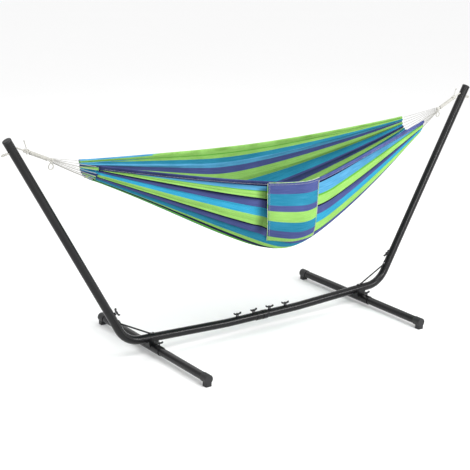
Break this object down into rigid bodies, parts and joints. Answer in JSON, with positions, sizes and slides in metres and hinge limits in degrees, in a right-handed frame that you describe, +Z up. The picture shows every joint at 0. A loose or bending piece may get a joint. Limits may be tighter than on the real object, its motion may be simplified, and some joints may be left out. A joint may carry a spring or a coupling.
{
  "type": "hammock with stand",
  "caption": "Striped cloth hammock with rope clews, slung between two leaning poles of a bolt-together steel tube stand.",
  "frame": {"origin": "on the floor, under the centre joint of the base", "axes": "+X along the hammock to the right-hand pole, +Y away from the pocket side, +Z up"},
  "size_m": [2.8408, 0.9844, 1.1486],
  "materials": {
    "black_powder_coat": "satin black powder coat",
    "zinc_steel": "zinc-plated steel",
    "black_plastic": "moulded black plastic",
    "white_cotton_rope": "twisted cotton rope",
    "striped_canvas": "woven striped cotton canvas"
  },
  "bodies": {
    "stand": {"base_tube_left": "black_powder_coat", "base_tube_right": "black_powder_coat", "centre_connector": "black_powder_coat", "centre_collar_left": "black_powder_coat", "centre_collar_right": "black_powder_coat", "upper_pole_left": "black_powder_coat", "upper_pole_right": "black_powder_coat", "foot_bracket_left": "black_powder_coat", "foot_bracket_right": "black_powder_coat", "foot_tube_left": "black_powder_coat", "foot_tube_right": "black_powder_coat", "corner_brace_left": "black_powder_coat", "corner_brace_right": "black_powder_coat", "brace_screws": "zinc_steel", "weld_nuts": "black_powder_coat", "pole_cap_left": "black_plastic", "pole_cap_right": "black_plastic", "foot_cap_left_near": "black_plastic", "foot_cap_left_far": "black_plastic", "foot_cap_right_near": "black_plastic", "foot_cap_right_far": "black_plastic", "anchor_knot_left": "white_cotton_rope", "anchor_knot_right": "white_cotton_rope"},
    "hammock": {"tie_rope_left": "white_cotton_rope", "tie_rope_right": "white_cotton_rope", "tie_knot_left": "white_cotton_rope", "tie_knot_right": "white_cotton_rope", "tie_tail_left": "white_cotton_rope", "tie_tail_right": "white_cotton_rope", "rope_neck_left": "white_cotton_rope", "rope_neck_right": "white_cotton_rope", "clew_knot_left": "white_cotton_rope", "clew_knot_right": "white_cotton_rope", "clew_cords_left": "white_cotton_rope", "clew_cords_right": "white_cotton_rope", "clew_loop_left": "white_cotton_rope", "clew_loop_right": "white_cotton_rope", "hammock_bed": "striped_canvas", "pocket": "striped_canvas"},
    "screw_centre_1": {"screw_stud_centre_1": "zinc_steel"},
    "wing_centre_1": {"wing_head_centre_1": "black_plastic"},
    "screw_centre_2": {"screw_stud_centre_2": "zinc_steel"},
    "wing_centre_2": {"wing_head_centre_2": "black_plastic"},
    "screw_centre_3": {"screw_stud_centre_3": "zinc_steel"},
    "wing_centre_3": {"wing_head_centre_3": "black_plastic"},
    "screw_centre_4": {"screw_stud_centre_4": "zinc_steel"},
    "wing_centre_4": {"wing_head_centre_4": "black_plastic"},
    "screw_elbow_left": {"screw_stud_elbow_left": "zinc_steel"},
    "wing_elbow_left": {"wing_head_elbow_left": "black_plastic"},
    "screw_elbow_right": {"screw_stud_elbow_right": "zinc_steel"},
    "wing_elbow_right": {"wing_head_elbow_right": "black_plastic"},
    "screw_foot_left": {"screw_stud_foot_left": "zinc_steel"},
    "wing_foot_left": {"wing_head_foot_left": "black_plastic"},
    "screw_foot_right": {"screw_stud_foot_right": "zinc_steel"},
    "wing_foot_right": {"wing_head_foot_right": "black_plastic"}
  },
  "joints": [
    {"name": "hammock_swing", "type": "hinge", "parent": "stand", "child": "hammock", "pos_m": [0, 0, 1.10162], "axis": [1, 0, 0], "range_deg": [-24, 24]},
    {"name": "feed_centre_1", "type": "slide", "parent": "stand", "child": "screw_centre_1", "axis": [0, 0, 1], "range_m": [0, 0.0025]},
    {"name": "turn_centre_1", "type": "hinge", "parent": "screw_centre_1", "child": "wing_centre_1", "pos_m": [-0.1545, 0, 0.06279], "axis": [0, 0, 1], "range_deg": [0, 720]},
    {"name": "feed_centre_2", "type": "slide", "parent": "stand", "child": "screw_centre_2", "axis": [0, 0, 1], "range_m": [0, 0.0025]},
    {"name": "turn_centre_2", "type": "hinge", "parent": "screw_centre_2", "child": "wing_centre_2", "pos_m": [-0.051, 0, 0.06279], "axis": [0, 0, 1], "range_deg": [0, 720]},
    {"name": "feed_centre_3", "type": "slide", "parent": "stand", "child": "screw_centre_3", "axis": [0, 0, 1], "range_m": [0, 0.0025]},
    {"name": "turn_centre_3", "type": "hinge", "parent": "screw_centre_3", "child": "wing_centre_3", "pos_m": [0.051, 0, 0.06279], "axis": [0, 0, 1], "range_deg": [0, 720]},
    {"name": "feed_centre_4", "type": "slide", "parent": "stand", "child": "screw_centre_4", "axis": [0, 0, 1], "range_m": [0, 0.0025]},
    {"name": "turn_centre_4", "type": "hinge", "parent": "screw_centre_4", "child": "wing_centre_4", "pos_m": [0.1545, 0, 0.06279], "axis": [0, 0, 1], "range_deg": [0, 720]},
    {"name": "feed_elbow_left", "type": "slide", "parent": "stand", "child": "screw_elbow_left", "axis": [0.874, 0, 0.4859], "range_m": [0, 0.0025]},
    {"name": "turn_elbow_left", "type": "hinge", "parent": "screw_elbow_left", "child": "wing_elbow_left", "pos_m": [-0.89466, 0, 0.23215], "axis": [0.874, 0, 0.4859], "range_deg": [0, 720]},
    {"name": "feed_elbow_right", "type": "slide", "parent": "stand", "child": "screw_elbow_right", "axis": [-0.874, 0, 0.4859], "range_m": [0, 0.0025]},
    {"name": "turn_elbow_right", "type": "hinge", "parent": "screw_elbow_right", "child": "wing_elbow_right", "pos_m": [0.89466, 0, 0.23215], "axis": [-0.874, 0, 0.4859], "range_deg": [0, 720]},
    {"name": "feed_foot_left", "type": "slide", "parent": "stand", "child": "screw_foot_left", "axis": [0, 0, 1], "range_m": [0, 0.0025]},
    {"name": "turn_foot_left", "type": "hinge", "parent": "screw_foot_left", "child": "wing_foot_left", "pos_m": [-0.669, -0.062, 0.0364], "axis": [0, 0, 1], "range_deg": [0, 720]},
    {"name": "feed_foot_right", "type": "slide", "parent": "stand", "child": "screw_foot_right", "axis": [0, 0, 1], "range_m": [0, 0.0025]},
    {"name": "turn_foot_right", "type": "hinge", "parent": "screw_foot_right", "child": "wing_foot_right", "pos_m": [0.669, -0.062, 0.0364], "axis": [0, 0, 1], "range_deg": [0, 720]}
  ],
  "couplings": [
    {"joint": "feed_centre_1", "follows": "turn_centre_1", "m_per_rad": 0.00019894},
    {"joint": "feed_centre_2", "follows": "turn_centre_2", "m_per_rad": 0.00019894},
    {"joint": "feed_centre_3", "follows": "turn_centre_3", "m_per_rad": 0.00019894},
    {"joint": "feed_centre_4", "follows": "turn_centre_4", "m_per_rad": 0.00019894},
    {"joint": "feed_elbow_left", "follows": "turn_elbow_left", "m_per_rad": 0.00019894},
    {"joint": "feed_elbow_right", "follows": "turn_elbow_right", "m_per_rad": 0.00019894},
    {"joint": "feed_foot_left", "follows": "turn_foot_left", "m_per_rad": 0.00019894},
    {"joint": "feed_foot_right", "follows": "turn_foot_right", "m_per_rad": 0.00019894}
  ]
}
